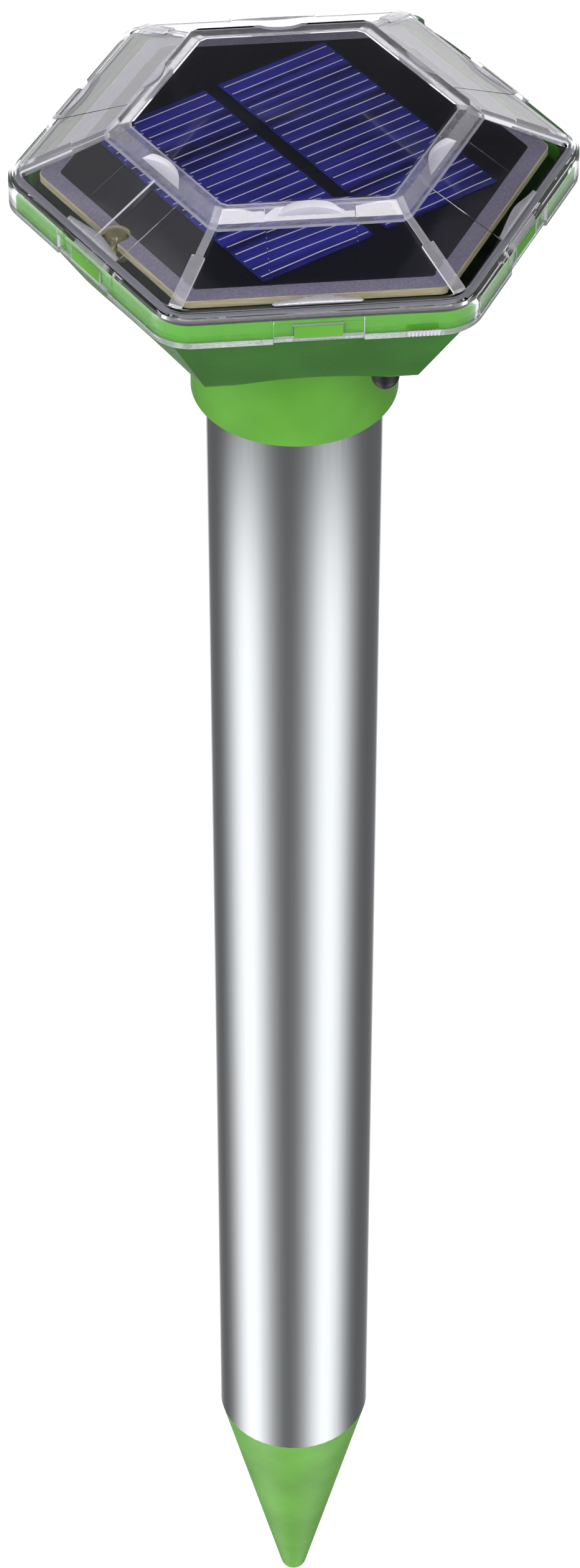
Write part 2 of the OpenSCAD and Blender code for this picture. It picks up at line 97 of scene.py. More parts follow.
class Material:
    """A Principled material and short calls that add procedural detail to it."""

    def __init__(self, name, colour, roughness=0.4, **values):
        self.material = bpy.data.materials.new(name)
        self.material.use_nodes = True
        self.tree = self.material.node_tree
        self.shader = self.tree.nodes["Principled BSDF"]
        self.shader.inputs["Base Color"].default_value = (*colour, 1)
        self.shader.inputs["Roughness"].default_value = roughness
        for key, value in values.items():
            self.shader.inputs[key.replace("_", " ")].default_value = value
        self.where = self.tree.nodes.new("ShaderNodeTexCoord").outputs["Object"]

    def node(self, kind, **values):
        made = self.tree.nodes.new("ShaderNode" + kind)
        for key, value in values.items():
            if hasattr(made, key):
                setattr(made, key, value)
            else:
                made.inputs[key.replace("_", " ")].default_value = value
        return made

    def link(self, a, b):
        self.tree.links.new(a, b)

    def placed(self, turn=0.0, stretch=(1, 1, 1)):
        """Object coordinates in a frame turned about Z, then stretched. Below 1 draws a pattern out."""
        made = self.node("Mapping", vector_type="TEXTURE")
        made.inputs["Rotation"].default_value = (0, 0, turn)
        made.inputs["Scale"].default_value = tuple(1 / f for f in stretch)
        self.link(self.where, made.inputs["Vector"])
        return made.outputs["Vector"]

    def noise(self, scale, detail=3.0, roughness=0.5, at=None):
        made = self.node("TexNoise", Scale=scale, Detail=detail, Roughness=roughness)
        self.link(at or self.where, made.inputs["Vector"])
        return made.outputs["Fac"]

    def ramp(self, source, low, high, to_low, to_high):
        """source from low..high mapped to to_low..to_high, clamped."""
        made = self.node("MapRange")
        self.link(source, made.inputs["Value"])
        made.inputs["From Min"].default_value = low
        made.inputs["From Max"].default_value = high
        made.inputs["To Min"].default_value = to_low
        made.inputs["To Max"].default_value = to_high
        return made.outputs["Result"]

    def mix(self, factor, first, second):
        made = self.node("Mix", data_type="RGBA")
        self.link(factor, made.inputs["Factor"])
        for value, socket in ((first, made.inputs[MIX_FIRST]), (second, made.inputs[MIX_SECOND])):
            if isinstance(value, tuple):
                socket.default_value = (*value, 1)
            else:
                self.link(value, socket)
        return made.outputs[MIX_RESULT]

    def axes(self):
        """Object coordinates as three numbers."""
        split = self.node("SeparateXYZ")
        self.link(self.where, split.inputs[0])
        return split.outputs

    def across_flats(self, x, y):
        """Distance of a point from the axis of the head, measured straight out to the nearest side."""
        farthest = 0.0
        for facing in (30, 90, 150):
            turn = math.radians(facing)
            across = maths(self.tree, "MULTIPLY", x, math.cos(turn))
            deep = maths(self.tree, "MULTIPLY", y, math.sin(turn))
            reach = maths(self.tree, "ABSOLUTE", maths(self.tree, "ADD", across, deep))
            farthest = maths(self.tree, "MAXIMUM", farthest, reach)
        return farthest

    def colour(self, source):
        self.link(source, self.shader.inputs["Base Color"])

    def rough(self, source):
        self.link(source, self.shader.inputs["Roughness"])

    def bump(self, source, height, strength=1.0):
        made = self.node("Bump", Strength=strength, Distance=height)
        self.link(source, made.inputs["Height"])
        if self.shader.inputs["Normal"].links:
            self.link(self.shader.inputs["Normal"].links[0].from_socket, made.inputs["Normal"])
        self.link(made.outputs["Normal"], self.shader.inputs["Normal"])

    def on(self, *names):
        for name in names:
            nodes[name].data.materials.clear()
            nodes[name].data.materials.append(self.material)


def moulded(name, colour, roughness=0.35, grain=0.06, **values):
    """Moulded plastic: faint colour drift, uneven gloss and a fine surface grain."""
    made = Material(name, colour, roughness, **values)
    drift = made.noise(60, 2)
    darker = tuple(c * 0.86 for c in colour)
    lighter = tuple(min(1, c * 1.12) for c in colour)
    made.colour(made.mix(made.ramp(drift, 0.35, 0.65, 0, 1), darker, lighter))
    made.rough(made.ramp(made.noise(900, 4), 0.3, 0.7, roughness - 0.05, roughness + 0.08))
    made.bump(made.noise(2600, 3), grain * MM)
    return made


def wire_coat(name, colour):
    made = Material(name, colour, 0.4)
    made.rough(made.ramp(made.noise(1200, 2), 0.3, 0.7, 0.32, 0.5))
    made.colour(made.mix(made.noise(400, 2), tuple(c * 0.8 for c in colour), colour))
    return made


def plated(name, colour, roughness=0.3):
    made = Material(name, colour, roughness, Metallic=1.0)
    made.rough(made.ramp(made.noise(1500, 4), 0.3, 0.7, roughness - 0.08, roughness + 0.12))
    made.colour(made.mix(made.noise(300, 3), tuple(c * 0.85 for c in colour), colour))
    return made


# ---------------------------------------------------------------- materials of the outside


def tube_finish():
    made = Material("tube_metal", (0.62, 0.635, 0.65), 0.3, Metallic=1.0)
    lines = made.noise(140, 5, 0.6, at=made.placed(stretch=(9, 9, 0.12)))
    fine = made.noise(900, 2, at=made.placed(stretch=(6, 6, 0.05)))
    made.colour(made.mix(lines, (0.575, 0.605, 0.61), (0.645, 0.67, 0.675)))
    made.rough(made.ramp(lines, 0.3, 0.7, 0.07, 0.11))
    made.bump(fine, 0.004 * MM, 0.5)
    made.on("tube")


def base_finish():
    """Plain neck and snap tabs; painted shade on the slanted sides, painted light on the band at the top of
    the base, and a painted shadow line along its top edge.
    """
    made = moulded("green_plastic", (0.105, 0.325, 0.038), 0.42, 0.05, Specular_IOR_Level=0.18)
    x, y, z = made.axes()
    # Painted shade: between low and high the slanted sides under the head are multiplied darker, where less
    # light falls on them.
    low, high = TUBE_TOP + 2.5 * MM, COVER_LOW.z + 1.0 * MM
    above = made.ramp(z, low, low + 0.6 * MM, 0, 1)
    below = made.ramp(z, high - 1.2 * MM, high, 1, 0)
    plain = made.shader.inputs["Base Color"].links[0].from_socket
    painted_shade = made.node("Mix", data_type="RGBA", blend_type="MULTIPLY")
    painted_shade.inputs["Factor"].default_value = 1.0
    made.link(plain, painted_shade.inputs[MIX_FIRST])
    painted_shade.inputs[MIX_SECOND].default_value = (0.38, 0.5, 0.55, 1)
    colour = made.mix(maths(made.tree, "MULTIPLY", above, below), plain, painted_shade.outputs[MIX_RESULT])
    # Painted light: from just below the cover's foot upwards the base is coloured brighter and greener,
    # standing in for light the clear cover holds back.
    rim_painted_light = made.ramp(z, high - 0.8 * MM, high + 0.4 * MM, 0, 1)
    colour = made.mix(rim_painted_light, colour, (0.11, 0.5, 0.016))
    # Painted shadow: a thin near-black line coloured round the top edge of the rim, under the cover's flange.
    seat_painted_shadow = made.ramp(z, RIM_TOP - 0.25 * MM, RIM_TOP - 0.15 * MM, 0, 1)
    colour = made.mix(seat_painted_shadow, colour, (0.01, 0.03, 0.008))
    tab = made.ramp(made.across_flats(x, y), RIM_A + 0.2 * MM, RIM_A + 0.6 * MM, 0, 1)
    made.colour(made.mix(tab, colour, plain))
    made.on("head_base")


def spike_finish():
    moulded("spike_green", (0.15, 0.42, 0.06), 0.42, 0.06).on("spike")


def cover_finish():
    made = Material("clear_plastic", (0.965, 0.965, 0.985), 0.02, Transmission_Weight=1.0, IOR=1.5)
    made.rough(made.ramp(made.noise(60, 2), 0.35, 0.65, 0.0, 0.015))
    made.colour(made.mix(made.noise(80, 2), (0.945, 0.945, 0.975), (0.975, 0.975, 0.99)))
    return made


def frosted_finish():
    """Steps and blisters of the cover, where the mould is not polished."""
    made = Material("clear_plastic_frosted", (0.86, 0.85, 0.93), 0.42, Transmission_Weight=0.45, IOR=1.5)
    made.colour(made.mix(made.noise(350, 3), (0.78, 0.77, 0.87), (0.93, 0.92, 0.98)))
    made.rough(made.ramp(made.noise(700, 3), 0.3, 0.7, 0.3, 0.5))
    return made


def milky_finish():
    """Thick places of the cover, which gather light."""
    made = Material("clear_plastic_milky", (0.8, 0.79, 0.88), 0.18, Transmission_Weight=0.72, IOR=1.5)
    made.colour(made.mix(made.noise(500, 4), (0.66, 0.65, 0.74), (0.92, 0.91, 0.98)))
    made.rough(made.ramp(made.noise(900, 3), 0.3, 0.7, 0.12, 0.28))
    made.bump(made.noise(300, 2), 0.02 * MM)
    return made


def rubber(name, colour=(0.012, 0.012, 0.015), uneven=(800, 0.38, 0.55), grain=0.03):
    """Rubber with a fine grain. uneven is the noise scale of its gloss and its least and most roughness."""
    made = Material(name, colour)
    scale, least, most = uneven
    made.rough(made.ramp(made.noise(scale, 2), 0.3, 0.7, least, most))
    made.bump(made.noise(1500, 3), grain * MM)
    return made


def gasket_finish():
    """Black foot and grey lip."""
    made = rubber("black_rubber")
    foot = GASKET_FOOT + 0.3 * MM
    lip = made.ramp(made.axes()["Z"], foot, foot + 0.1 * MM, 0, 1)
    made.colour(made.mix(lip, (0.012, 0.012, 0.015), (0.36, 0.36, 0.41)))
    made.on("cover_gasket")


# ---------------------------------------------------------------- materials of the solar panel

CELL_TURN = math.radians(30)


def silicon_finish():
    made = Material("silicon", (0.02, 0.025, 0.16), 0.3, Coat_Weight=1.0, Coat_Roughness=0.06)
    along = made.placed(turn=CELL_TURN, stretch=(0.06, 1, 1))
    streaks = made.noise(420, 2, 0.55, at=along)
    crystal = made.noise(420, 4, 0.6)
    blue = made.mix(made.ramp(streaks, 0.38, 0.6, 0, 1), (0.008, 0.009, 0.1), (0.046, 0.05, 0.5))
    made.colour(made.mix(made.ramp(crystal, 0.5, 0.8, 0, 0.5), blue, (0.055, 0.062, 0.55)))
    made.on("panel_cells")


def print_finish():
    made = Material("silver_print", (0.42, 0.4, 0.72), 0.4)
    made.colour(made.mix(made.noise(500, 2), (0.7, 0.68, 0.97), (0.92, 0.9, 1.0)))
    made.on("cell_fingers")


def mask_finish():
    made = Material("panel_black", (0.01, 0.01, 0.018), 0.3, Coat_Weight=1.0, Coat_Roughness=0.06)
    specks = made.noise(1400, 5, 0.7)
    made.colour(made.mix(made.ramp(specks, 0.45, 0.75, 0, 1), (0.003, 0.003, 0.009), (0.014, 0.013, 0.03)))
    made.on("panel_mask")


def border_finish():
    made = Material("panel_band", (0.2, 0.18, 0.26), 0.35, Coat_Weight=1.0, Coat_Roughness=0.06)
    specks = made.noise(2600, 4, 0.65)
    made.colour(made.mix(made.ramp(specks, 0.3, 0.7, 0, 1), (0.26, 0.24, 0.34), (0.44, 0.41, 0.54)))
    made.on("panel_border")


def laminate_finish():
    made = Material("panel_laminate", (0.55, 0.42, 0.2), 0.6)
    layers = made.noise(800, 3, at=made.placed(stretch=(0.2, 0.2, 3)))
    made.colour(made.mix(made.ramp(layers, 0.3, 0.7, 0, 1), (0.72, 0.62, 0.33), (0.95, 0.87, 0.6)))
    made.bump(layers, 0.05 * MM)
    made.on("panel_board")


def lamp_finish():
    made = Material("amber_lens", (0.75, 0.68, 0.25), 0.06, Transmission_Weight=0.8, IOR=1.5)
    made.colour(made.mix(made.noise(350, 2), (0.6, 0.52, 0.12), (0.85, 0.8, 0.4)))
    made.on("indicator_led")


# ---------------------------------------------------------------- materials of the inside


def inner_finishes():
    rubber("seal_rubber").on("neck_seal")
    moulded("black_plastic", (0.02, 0.02, 0.022), 0.45).on(
        "controller_ic", "driver_transistor", "switch_body", "sound_carrier")
    moulded("white_plastic", (0.7, 0.7, 0.66), 0.4).on("switch_plunger")
    foam = Material("foam", (0.03, 0.03, 0.03), 0.9)
    foam.bump(foam.noise(2200, 4), 0.15 * MM)
    foam.colour(foam.mix(foam.noise(900, 3), (0.02, 0.02, 0.02), (0.06, 0.06, 0.06)))
    foam.on("panel_pads", "speaker_foam")
    tape = Material("white_foam", (0.7, 0.7, 0.66), 0.85)
    tape.bump(tape.noise(2200, 4), 0.1 * MM)
    tape.colour(tape.mix(tape.noise(500, 3), (0.6, 0.6, 0.55), (0.76, 0.76, 0.72)))
    tape.on("battery_pad")
    board = Material("circuit_board", (0.01, 0.11, 0.04), 0.35)
    tracks = board.node("TexBrick", Scale=260.0)
    board.link(board.where, tracks.inputs["Vector"])
    board.colour(board.mix(tracks.outputs["Fac"], (0.008, 0.09, 0.03), (0.02, 0.17, 0.06)))
    board.bump(tracks.outputs["Fac"], 0.03 * MM)
    board.on("main_board")
    plated("tinned_wire", (0.72, 0.72, 0.7), 0.25).on("led_leads")
    plated("steel", (0.6, 0.6, 0.62), 0.3).on("board_screws", "battery_tabs", "speaker_frame")
    plated("cell_can", (0.55, 0.56, 0.58), 0.28).on("battery_cells")
    moulded("green_film", (0.02, 0.2, 0.08), 0.25).on("battery_sleeve")
    moulded("blue_sleeve", (0.015, 0.03, 0.16), 0.25).on("capacitor")
    coil = Material("copper", (0.5, 0.2, 0.07), 0.3, Metallic=1.0)
    turns = coil.node("TexWave", Scale=900.0, bands_direction="Z")
    coil.link(coil.where, turns.inputs["Vector"])
    coil.colour(coil.mix(turns.outputs["Fac"], (0.3, 0.1, 0.03), (0.62, 0.27, 0.1)))
    coil.bump(turns.outputs["Fac"], 0.1 * MM)
    coil.on("boost_coil")
    wire_coat("red_wire", (0.42, 0.015, 0.015)).on("battery_leads", "panel_leads")
    wire_coat("grey_wire", (0.18, 0.18, 0.18)).on("switch_leads", "speaker_leads")
    magnet = Material("ferrite", (0.05, 0.05, 0.055), 0.7)
    magnet.bump(magnet.noise(1800, 5), 0.08 * MM)
    magnet.colour(magnet.mix(magnet.noise(700, 4), (0.035, 0.035, 0.04), (0.08, 0.08, 0.085)))
    magnet.on("speaker_magnet")
    cone = Material("cone_film", (0.5, 0.4, 0.2), 0.35)
    cone.colour(cone.mix(cone.noise(300, 3), (0.42, 0.33, 0.16), (0.56, 0.46, 0.25)))
    cone.bump(cone.noise(1500, 3), 0.02 * MM)
    cone.on("speaker_cone")


# ---------------------------------------------------------------- clear cover

# Half widths across the flats end in _A, and heights in _Z
COVER_A = COVER_HIGH.y
SKIRT_Z = COVER_LOW.z
CROWN_Z = COVER_HIGH.z
FLANGE_Z = PANEL_FOOT + 2.8 * MM
UNDER_Z = FLANGE_Z - 1.6 * MM
SKIRT_CORNER_R = 8 * MM
SKIRT_WALL = 1.5 * MM
SLOPE_WALL = 1.4 * MM
ROOF_WALL = 1.6 * MM
FOOT_CHAMFER = 0.15 * MM
FOOT_BAND = 1.3 * MM
EDGE_R = 1.8 * MM
EDGE_TURNS = (0, 18, 36, 54, 72, 90)
FOOT_A = COVER_A - 2.2 * MM
SHOULDER_A = 28.2 * MM
SHOULDER_Z = CROWN_Z - 2.2 * MM
CROWN_A = 26.2 * MM
SLOPE = (SHOULDER_Z - FLANGE_Z) / (FOOT_A - SHOULDER_A)

# Ribs up the corners: wide and high at first, then narrow and low
RIB_W = 2.4 * MM
RIB_RISE = 0.4 * MM
RIB_TOP_W = 1.44 * MM
RIB_TOP_RISE = 0.1 * MM
RIB_STEP_AT = 0.6

# Middle zone of each side, set back in the skirt and raised on the slope, at its foot and its top
ZONE_HALF = 7.5 * MM
ZONE_STEP = 0.06 * MM
ZONE_RECESS = 0.5 * MM
ZONE_TOP_Z = (FLANGE_Z - EDGE_R - 0.75 * MM, FLANGE_Z - EDGE_R - 0.6 * MM)
ZONE_PADS = (0.1 * MM, 0.04 * MM)
ZONE_MARKS = (-0.5 * ZONE_HALF, 0.0, 0.5 * ZONE_HALF)

# Snap window in each side of the skirt, and half-moon dip in each edge of the crown
WINDOW = (8.6 * MM, 2.7 * MM)
WINDOW_Z = SKIRT_Z + 0.5 * MM
SCALLOP_HALF = 5.4 * MM
SCALLOP_BITE = 0.9 * MM
SCALLOP_DEPTH = 1.4 * MM
SCALLOP_FACETS = 72

# Low blister across each middle zone: its half width, and from its foot to how far it reaches up the slope at
# its ends, and further in its middle
BLISTER_HALF = 7.3 * MM
BLISTER_FOOT = -0.3 * MM
BLISTER_REACH = (0.5 * MM, 0.8 * MM)
BLISTER_THICK, BLISTER_SUNK = 0.35 * MM, 0.12 * MM
BLISTER_CELLS = (24, 5)

# Ribbed bar low on the front side: its ends along the side, its heights and how far it stands out
GRIP_S = (14.6 * MM, 20.1 * MM)
GRIP_Z = (SKIRT_Z + 0.35 * MM, SKIRT_Z + 1.35 * MM)
GRIP_BACK, GRIP_RIB = 0.05 * MM, 0.25 * MM
GRIP_RIBS = 9

RIDGE_FOOT, RIDGE_TOP = 0.19 * MM, 0.13 * MM
RIDGE_RISE = 0.12 * MM

TAN_30 = math.tan(math.radians(30))
COS_30 = math.cos(math.radians(30))
FRONT_SIDE, LAMP_SIDE = 0, 5

# Points round a corner, as shares of its turn on a round one and of its width on a straight facet
CORNER_SHARES = (0.125, 0.25, 0.375, 0.5, 0.625, 0.75, 0.875)
FACET_SHARES = (0.02, 0.1, 0.3, 0.5, 0.7, 0.9, 0.98)

# Steps of the inside, as shares of its slope: a frosted line, a milky band and a frosted line
EDGE_BANDS = (0.765, 0.79, 0.965, 0.985)

CLEAR, FROSTED, MILKY = 0, 1, 2

# Levels of faces between the outlines, counted upwards: on the outside the band at the foot and the first
# faces of the rounded edge and of the slope, and inside the three steps
FOOT_BAND_LEVEL, EDGE_LEVEL, SLOPE_LEVEL = 1, 5, 11
INNER_FINISHES = {4: FROSTED, 5: MILKY, 6: FROSTED}


def side_frame(side):
    """Outward and sideways directions of one of the six sides."""
    facing = math.radians(60 * side - 90)
    normal = Vector((math.cos(facing), math.sin(facing), 0))
    return facing, normal, Vector((-normal.y, normal.x, 0))


def side_stations():
    """Distances from the middle of a side, with how far each lies into the middle zone (0 or 1)."""
    inner = [(-ZONE_HALF + ZONE_STEP, 1), *[(m, 1) for m in ZONE_MARKS], (ZONE_HALF - ZONE_STEP, 1)]
    return [(-ZONE_HALF - ZONE_STEP, 0), *inner, (ZONE_HALF + ZONE_STEP, 0)]


def ring(half, z, corner_r, flat=0.0, out=0.0, up=0.0, rib=0.0):
    """One closed outline of the cover. flat turns the round corner into a straight facet, which rib lifts.
    out and up move the middle zone of each side."""
    points = []
    straight = (half - corner_r) * TAN_30
    centre = (half - corner_r) / COS_30
    for side in range(6):
        facing, normal, along = side_frame(side)
        for s, zone in [(-straight, 0), *side_stations(), (straight, 0)]:
            point = normal * (half + out * zone) + along * s
            point.z = z + up * zone
            points.append(point)
        middle = facing + math.radians(30)
        hub = Vector((math.cos(middle), math.sin(middle), 0)) * centre
        first = normal * half + along * straight
        _, next_normal, next_along = side_frame(side + 1)
        last = next_normal * half - next_along * straight
        for even, faceted in zip(CORNER_SHARES, FACET_SHARES):
            angle = facing + math.radians(60) * even
            arc = hub + Vector((math.cos(angle), math.sin(angle), 0)) * corner_r
            point = arc.lerp(first.lerp(last, faceted), flat)
            point.z = z + rib
            points.append(point)
    return points


def slope_ring(share, low, high, pads=(0, 0), width=RIB_W, rib=0.0):
    """Outline on the sloping sides, a share of the way from low (half width, height) to high."""
    half, z = (a + (b - a) * share for a, b in zip(low, high))
    return ring(half, z, width, 1.0, up=pads[0] + (pads[1] - pads[0]) * share, rib=rib)


def outer_rings():
    """Outside of the cover, upwards: skirt, rounded edge, flange, slope with its ribs and pads, and crown."""
    foot_r = SKIRT_CORNER_R - FOOT_CHAMFER
    rings = [
        ring(COVER_A - FOOT_CHAMFER, SKIRT_Z, foot_r, out=-ZONE_RECESS),
        ring(COVER_A, SKIRT_Z + FOOT_CHAMFER, SKIRT_CORNER_R, out=-ZONE_RECESS),
        ring(COVER_A, SKIRT_Z + FOOT_BAND, SKIRT_CORNER_R, out=-ZONE_RECESS),
        ring(COVER_A, ZONE_TOP_Z[0], SKIRT_CORNER_R, out=-ZONE_RECESS),
        ring(COVER_A, ZONE_TOP_Z[1], SKIRT_CORNER_R),
    ]
    for degrees in EDGE_TURNS:
        t = math.radians(degrees)
        inset = EDGE_R * (1 - math.cos(t))
        rings.append(ring(COVER_A - inset, FLANGE_Z - EDGE_R + EDGE_R * math.sin(t), SKIRT_CORNER_R - inset))
    low, high = (FOOT_A, FLANGE_Z), (SHOULDER_A, SHOULDER_Z)
    rings.append(ring(FOOT_A + 0.05 * MM, FLANGE_Z, 5 * MM))
    for share, rise in ((0.004, 0.2 * RIB_RISE), (0.02, RIB_RISE), (RIB_STEP_AT, RIB_RISE)):
        rings.append(slope_ring(share, low, high, ZONE_PADS, rib=rise))
    for share in (RIB_STEP_AT + 0.03, 0.985):
        rings.append(slope_ring(share, low, high, ZONE_PADS, RIB_TOP_W, RIB_TOP_RISE))
    rings.append(ring(SHOULDER_A - 0.25 * MM, SHOULDER_Z + 0.16 * MM, RIB_TOP_W, 1.0, up=0.1 * MM))
    for outwards, below in ((0.2, 0.17), (0.08, 0.05), (-0.12, 0.0)):
        rings.append(ring(CROWN_A + outwards * MM, CROWN_Z - below * MM, RIB_TOP_W, 1.0))
    return rings


def inner_rings():
    """Inside of the cover, upwards, at the wall's thickness within the outside."""
    wall = SLOPE_WALL / math.sin(math.atan(SLOPE))
    low_a = FOOT_A - wall + (FLANGE_Z - UNDER_Z) / SLOPE
    high_z = CROWN_Z - ROOF_WALL
    high_a = low_a - (high_z - UNDER_Z) / SLOPE
    low, high = (low_a, UNDER_Z), (high_a, high_z)
    return [
        ring(COVER_A - SKIRT_WALL, SKIRT_Z, SKIRT_CORNER_R - SKIRT_WALL),
        ring(COVER_A - SKIRT_WALL, UNDER_Z, SKIRT_CORNER_R - SKIRT_WALL),
        ring(low_a + 0.2 * MM, UNDER_Z, 3 * MM),
        slope_ring(0.01, low, high),
        *[slope_ring(share, low, high, width=RIB_TOP_W) for share in EDGE_BANDS],
        ring(high_a - 0.1 * MM, high_z, RIB_TOP_W, 1.0),
    ]


def finish_index(outside, level, place, straight, per_side):
    """Finish of one face of the shell, from its level and its place along a side, where the first few places
    are straight. The foot band and the ribs are milky, and narrow steps are frosted."""
    if not outside:
        return INNER_FINISHES.get(level, CLEAR)
    if level == FOOT_BAND_LEVEL:
        return MILKY
    if level < FOOT_BAND_LEVEL or (level < EDGE_LEVEL and place in (1, straight - 3)):
        return FROSTED
    if level >= SLOPE_LEVEL and place >= straight - 1:
        return FROSTED if place in (straight - 1, per_side - 1) else MILKY
    return CLEAR


def shell(rings_out, rings_in):
    """Closed shell between two stacks of outlines, joined along their lowest ones and capped on top."""
    made = bmesh.new()
    stacks = [[[made.verts.new(p) for p in one] for one in rings] for rings in (rings_out, rings_in)]
    count = len(stacks[0][0])
    per_side = count // 6
    straight = len(side_stations()) + 2
    for stack, turn in zip(stacks, (1, -1)):
        for level, (low, high) in enumerate(zip(stack, stack[1:])):
            for i in range(count):
                j = (i + 1) % count
                face = made.faces.new([low[i], low[j], high[j], high[i]][::turn])
                face.material_index = finish_index(turn == 1, level, i % per_side, straight, per_side)
        made.faces.new(stack[-1][::turn])
    for i in range(count):
        j = (i + 1) % count
        made.faces.new([stacks[1][0][i], stacks[1][0][j], stacks[0][0][j], stacks[0][0][i]])
    bmesh.ops.recalc_face_normals(made, faces=made.faces)
    return as_piece("cover_shell", made)


def as_piece(name, made):
    mesh = bpy.data.meshes.new(name)
    made.to_mesh(mesh)
    made.free()
    piece = bpy.data.objects.new(name, mesh)
    bpy.context.scene.collection.objects.link(piece)
    return piece


def grip_bar():
    """Short row of upright ribs low on the skirt, beside the front side's middle zone."""
    made = bmesh.new()
    _, normal, along = side_frame(FRONT_SIDE)
    pitch = (GRIP_S[1] - GRIP_S[0]) / GRIP_RIBS
    strips = [(*GRIP_S, GRIP_BACK)]
    for i in range(GRIP_RIBS):
        start = GRIP_S[0] + (i + 0.2) * pitch
        strips.append((start, start + 0.6 * pitch, GRIP_RIB))
    for first, last, rise in strips:
        foot, face = COVER_A - 0.1 * MM, COVER_A + rise
        corners = [(foot, first), (face, first), (face, last), (foot, last)]
        add_prism(made, [normal * a + along * s for a, s in corners], *GRIP_Z)
    bmesh.ops.recalc_face_normals(made, faces=made.faces)
    return as_piece("cover_grip", made)


def lamp_ridge():
    """Thin ridge down the sloping side over the lamp."""
    made = bmesh.new()
    _, normal, along = side_frame(LAMP_SIDE)
    sunk = -0.1 * MM
    section = ((-RIDGE_FOOT, sunk), (RIDGE_FOOT, sunk), (RIDGE_TOP, RIDGE_RISE), (-RIDGE_TOP, RIDGE_RISE))
    ends = []
    for half, share in ((FOOT_A - 0.5 * MM, 0.02), (SHOULDER_A + 0.4 * MM, 0.97)):
        z = FLANGE_Z + (SHOULDER_Z - FLANGE_Z) * share + ZONE_PADS[0]
        points = [normal * half + along * s + Vector((0, 0, z + lift)) for s, lift in section]
        ends.append([made.verts.new(point) for point in points])
    low, high = ends
    made.faces.new(low)
    made.faces.new(high[::-1])
    for i in range(4):
        j = (i + 1) % 4
        made.faces.new([low[i], high[i], high[j], low[j]])
    bmesh.ops.recalc_face_normals(made, faces=made.faces)
    return as_piece("cover_ridge", made)


def blister_skin(made, side, domed):
    """Grid of points on the domed top or the flat underside of one side's blister."""
    columns, rows = BLISTER_CELLS
    _, normal, along = side_frame(side)
    lean = Vector((-1, 0, SLOPE)).normalized()
    grid = []
    for i in range(columns + 1):
        share = 2 * i / columns - 1
        s = BLISTER_HALF * share
        swell = math.cos(share * math.pi / 2)
        wobble = 1 + 0.12 * math.sin(share * 5 + 0.6)
        top = BLISTER_REACH[0] + BLISTER_REACH[1] * swell**1.5 * wobble
        row = []
        for j in range(rows + 1):
            along_slope = BLISTER_FOOT + (top - BLISTER_FOOT) * j / rows
            dome = math.sin(math.pi * (0.08 + 0.84 * j / rows)) * (0.3 + 0.7 * swell)
            height = ZONE_PADS[0] * 0.8 + (BLISTER_THICK * dome if domed else -BLISTER_SUNK)
            point = normal * (FOOT_A + lean.x * along_slope) + along * s
            point.z = FLANGE_Z + lean.z * along_slope + height
            row.append(made.verts.new(point))
        grid.append(row)
    return grid


def cover_blisters():
    """A low milky blister across the foot of each side's middle zone."""
    made = bmesh.new()
    columns, rows = BLISTER_CELLS
    for side in range(6):
        low = blister_skin(made, side, False)
        high = blister_skin(made, side, True)
        for i in range(columns):
            for j in range(rows):
                made.faces.new([high[i][j], high[i + 1][j], high[i + 1][j + 1], high[i][j + 1]])
                made.faces.new([low[i][j + 1], low[i + 1][j + 1], low[i + 1][j], low[i][j]])
            for j, turn in ((0, 1), (rows, -1)):
                made.faces.new([low[i][j], low[i + 1][j], high[i + 1][j], high[i][j]][::turn])
        for i, turn in ((0, -1), (columns, 1)):
            for j in range(rows):
                made.faces.new([low[i][j], low[i][j + 1], high[i][j + 1], high[i][j]][::turn])
    bmesh.ops.recalc_face_normals(made, faces=made.faces)
    return as_piece("cover_blisters", made)


def add_prism(made, outline, z_low, z_high):
    """Adds an upright prism to a bmesh, from an outline that runs anticlockwise."""
    low = [made.verts.new((p.x, p.y, z_low)) for p in outline]
    high = [made.verts.new((p.x, p.y, z_high)) for p in outline]
    made.faces.new(low[::-1])
    made.faces.new(high)
    for i in range(len(outline)):
        j = (i + 1) % len(outline)
        made.faces.new([low[i], low[j], high[j], high[i]])


def cover_cutter():
    """Snap windows in the skirt and half-moon dips in the edge of the crown."""
    made = bmesh.new()
    cut_a = CROWN_A + SCALLOP_DEPTH * (SHOULDER_A - CROWN_A) / (CROWN_Z - SHOULDER_Z)
    sag = cut_a - CROWN_A + SCALLOP_BITE
    radius = (SCALLOP_HALF**2 + sag**2) / (2 * sag)
    inner, outer, half = COVER_A - 3 * MM, COVER_A + 2 * MM, WINDOW[0] / 2
    for side in range(6):
        _, normal, along = side_frame(side)
        corners = [(inner, -half), (outer, -half), (outer, half), (inner, half)]
        add_prism(made, [normal * a + along * s for a, s in corners], WINDOW_Z, WINDOW_Z + WINDOW[1])
        hub = normal * (CROWN_A - SCALLOP_BITE + radius)
        turns = (2 * math.pi * (i + 0.5) / SCALLOP_FACETS for i in range(SCALLOP_FACETS))
        circle = [hub + Vector((math.cos(t), math.sin(t), 0)) * radius for t in turns]
        add_prism(made, circle, CROWN_Z - SCALLOP_DEPTH, CROWN_Z + 3 * MM)
    return as_piece("cover_cutter", made)


def settle(piece):
    """Applies a piece's modifiers to its mesh."""
    bpy.context.view_layer.update()
    solved = piece.evaluated_get(bpy.context.evaluated_depsgraph_get())
    mesh = bpy.data.meshes.new_from_object(solved)
    piece.modifiers.clear()
    piece.data = mesh


def finish_piece(piece, angle):
    """Smooths a piece of the cover up to an angle between faces, and lets it ride on the head."""
    for polygon in piece.data.polygons:
        polygon.use_smooth = True
    piece.data.set_sharp_from_angle(angle=math.radians(angle))
    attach(piece, "head")
    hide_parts("clear_cover")


